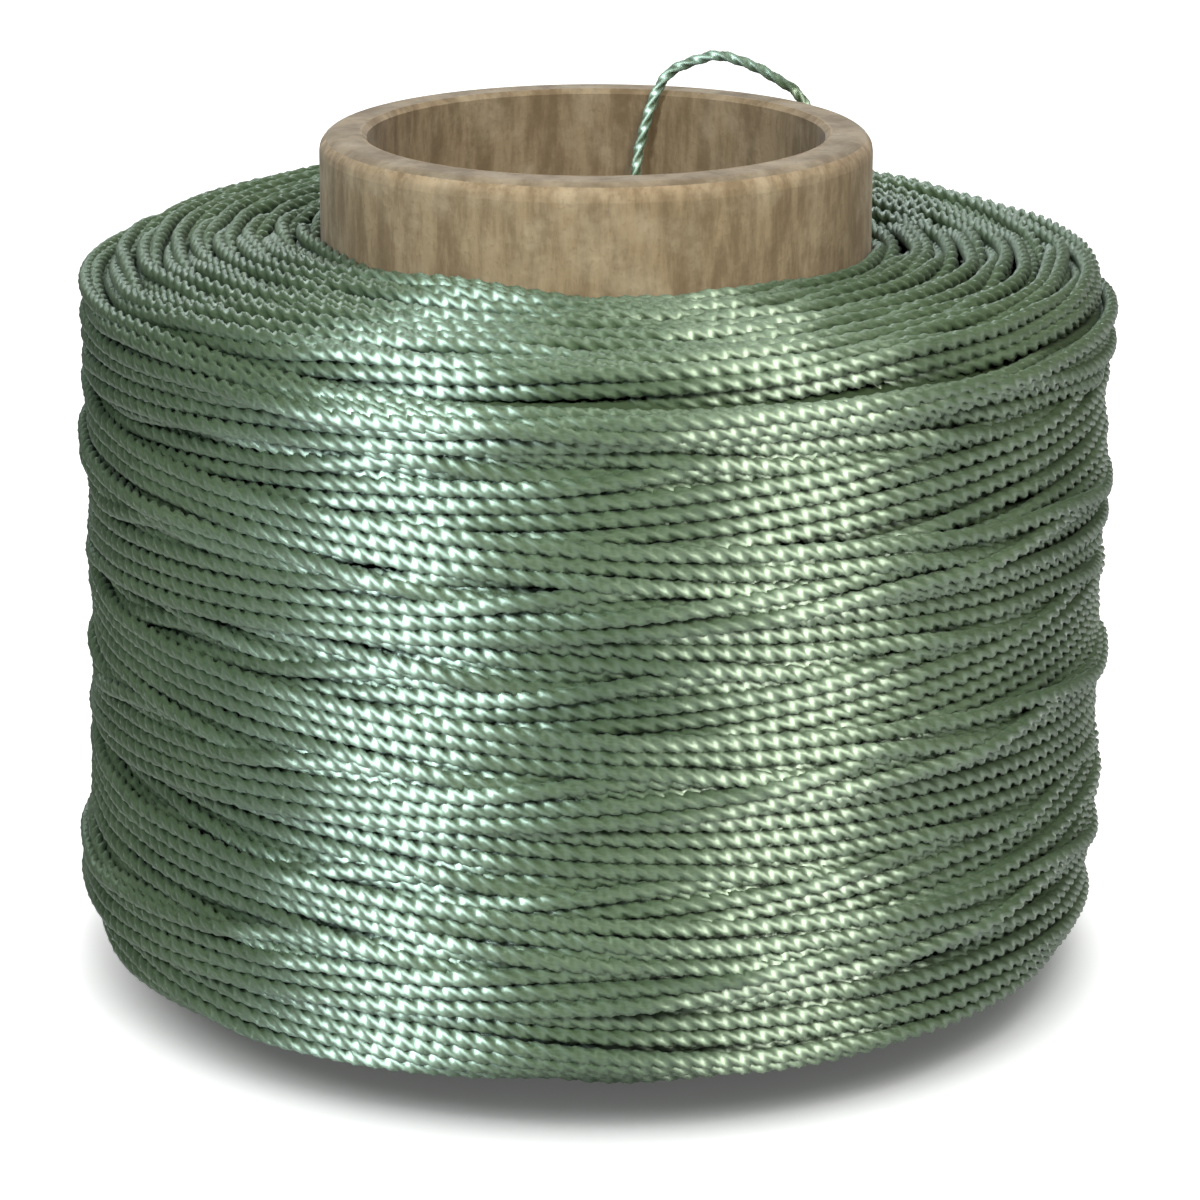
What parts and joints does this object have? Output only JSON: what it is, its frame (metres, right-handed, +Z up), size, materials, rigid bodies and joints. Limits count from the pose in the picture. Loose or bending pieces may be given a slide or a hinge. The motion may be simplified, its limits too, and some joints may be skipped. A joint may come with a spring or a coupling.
{
  "type": "fishing line spool",
  "caption": "Cylindrical package of twisted nylon fishing line wound on a spiral paper core that stands proud of it, with the line's free end looped into the bore.",
  "frame": {"origin": "centre of the core's lower rim, on the surface the spool stands on", "axes": "+Z up along the core's axis; -Y is the front, so the free end hangs in the bore on the +Y side"},
  "size_m": [0.0864, 0.0864, 0.0749],
  "materials": {
    "core_liner": "matte",
    "core_board": "matte",
    "core_cover": "matte",
    "nylon_line": "satin"
  },
  "bodies": {
    "root": {"core_liner_ply": "core_liner", "core_body_ply_1": "core_board", "core_body_ply_2": "core_board", "core_body_ply_3": "core_board", "core_body_ply_4": "core_board", "core_cover_ply": "core_cover", "wound_line_mass": "nylon_line", "outer_turns": "nylon_line", "line_tail": "nylon_line"}
  },
  "joints": []
}
